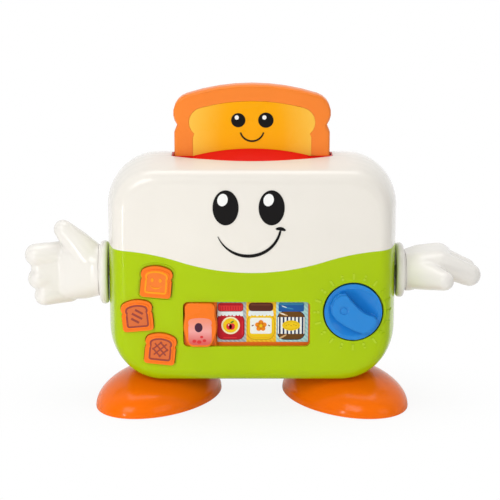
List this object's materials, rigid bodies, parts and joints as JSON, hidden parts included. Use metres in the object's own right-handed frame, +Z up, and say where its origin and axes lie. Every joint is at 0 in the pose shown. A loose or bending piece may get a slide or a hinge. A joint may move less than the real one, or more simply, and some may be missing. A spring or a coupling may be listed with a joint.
{
  "type": "pop-up toaster activity toy",
  "caption": "Toy toaster with turning gloved hands, lift-up toast slice, toast-shaped push buttons, sliding picture pointer, click dial and domed feet.",
  "frame": {"origin": "on the floor, under the middle of the body", "axes": "X to the viewer's right along the arms, front and face towards -Y, Z up"},
  "size_m": [0.341, 0.1092, 0.241],
  "materials": {
    "white_shell": "gloss moulded",
    "green_shell": "gloss moulded",
    "orange_foot": "gloss moulded",
    "sole_rubber": "soft pad",
    "steel": "zinc plated",
    "spring_steel": "drawn wire",
    "tray_orange": "gloss moulded",
    "card": "printed card",
    "jar_print": "printed",
    "black_print": "printed",
    "dark_plastic": "moulded",
    "cell": "sleeved cell",
    "board_green": "solder mask",
    "silicone": "translucent",
    "lens_red": "translucent gloss",
    "lamp_white": "clear",
    "wire_red": "insulated wire",
    "natural": "moulded acetal",
    "crust_orange": "gloss moulded",
    "toast_yellow": "printed",
    "button_orange": "gloss moulded",
    "pointer_orange": "gloss moulded",
    "pointer_pink": "printed",
    "dial_blue": "gloss moulded",
    "glove_white": "gloss moulded"
  },
  "bodies": {
    "housing": {"front_upper_shell": "white_shell", "front_lower_shell": "green_shell", "rear_upper_shell": "white_shell", "rear_lower_shell": "green_shell", "slot_insert": "lens_red", "left_foot": "orange_foot", "right_foot": "orange_foot", "left_sole": "sole_rubber", "right_sole": "sole_rubber", "foot_screws": "steel", "case_screws": "steel", "inner_screws": "steel", "picture_tray": "tray_orange", "picture_card": "card", "jar_pictures": "jar_print", "face_inlay": "black_print", "battery_box": "dark_plastic", "battery_cells": "cell", "battery_contacts": "spring_steel", "battery_door": "green_shell", "door_screw": "steel", "speaker": "dark_plastic", "speaker_clamp": "dark_plastic", "main_board": "board_green", "board_parts": "dark_plastic", "button_domes": "silicone", "slot_lamp": "lamp_white", "switch_body": "dark_plastic", "wiring": "wire_red", "rod_bracket": "dark_plastic", "guide_rods": "steel", "left_spring": "spring_steel", "right_spring": "spring_steel", "latch_pin": "steel", "click_springs": "spring_steel"},
    "toast": {"toast_front_shell": "crust_orange", "toast_rear_shell": "crust_orange", "toast_front_panel": "toast_yellow", "toast_rear_panel": "toast_yellow", "toast_face": "black_print", "toast_carriage": "natural"},
    "smile_key": {"smile_button": "button_orange"},
    "stripe_key": {"stripe_button": "button_orange"},
    "waffle_key": {"waffle_button": "button_orange"},
    "latch": {"latch_lever": "natural"},
    "pointer": {"pointer_knob": "pointer_orange", "pointer_face": "pointer_pink", "pointer_wiper": "dark_plastic"},
    "dial": {"dial_knob": "dial_blue", "dial_star": "natural", "dial_screw": "steel"},
    "left_hand": {"left_cuff": "glove_white", "left_glove": "glove_white", "left_star": "natural", "left_hand_screw": "steel"},
    "right_hand": {"right_cuff": "glove_white", "right_glove": "glove_white", "right_star": "natural", "right_hand_screw": "steel"},
    "power": {"power_knob": "dark_plastic"}
  },
  "joints": [
    {"name": "toast_slide", "type": "slide", "parent": "housing", "child": "toast", "axis": [0, 0, -1], "range_m": [0, 0.04], "stiffness_N_per_m": 60, "springref_m": -0.03, "deforming": ["left_spring", "right_spring"]},
    {"name": "smile_press", "type": "slide", "parent": "housing", "child": "smile_key", "axis": [0, 1, 0], "range_m": [0, 0.002], "stiffness_N_per_m": 400, "springref_m": -0.001},
    {"name": "stripe_press", "type": "slide", "parent": "housing", "child": "stripe_key", "axis": [0, 1, 0], "range_m": [0, 0.002], "stiffness_N_per_m": 400, "springref_m": -0.001},
    {"name": "waffle_press", "type": "slide", "parent": "housing", "child": "waffle_key", "axis": [0, 1, 0], "range_m": [0, 0.002], "stiffness_N_per_m": 400, "springref_m": -0.001},
    {"name": "latch_tilt", "type": "hinge", "parent": "housing", "child": "latch", "pos_m": [-0.05, -0.02185, 0.112], "axis": [1, 0, 0], "range_deg": [0, 13]},
    {"name": "pointer_slide", "type": "slide", "parent": "housing", "child": "pointer", "axis": [1, 0, 0], "range_m": [0, 0.0669]},
    {"name": "dial_turn", "type": "hinge", "parent": "housing", "child": "dial", "pos_m": [0.074, -0.042, 0.079], "axis": [0, 1, 0], "continuous": true},
    {"name": "left_hand_turn", "type": "hinge", "parent": "housing", "child": "left_hand", "pos_m": [-0.11, 0, 0.1], "axis": [1, 0, 0], "continuous": true},
    {"name": "right_hand_turn", "type": "hinge", "parent": "housing", "child": "right_hand", "pos_m": [0.11, 0, 0.1], "axis": [1, 0, 0], "continuous": true},
    {"name": "power_slide", "type": "slide", "parent": "housing", "child": "power", "axis": [1, 0, 0], "range_m": [0, 0.008]}
  ],
  "couplings": [
    {"joint": "latch_tilt", "follows": "smile_press", "rad_per_m": 111.1}
  ]
}
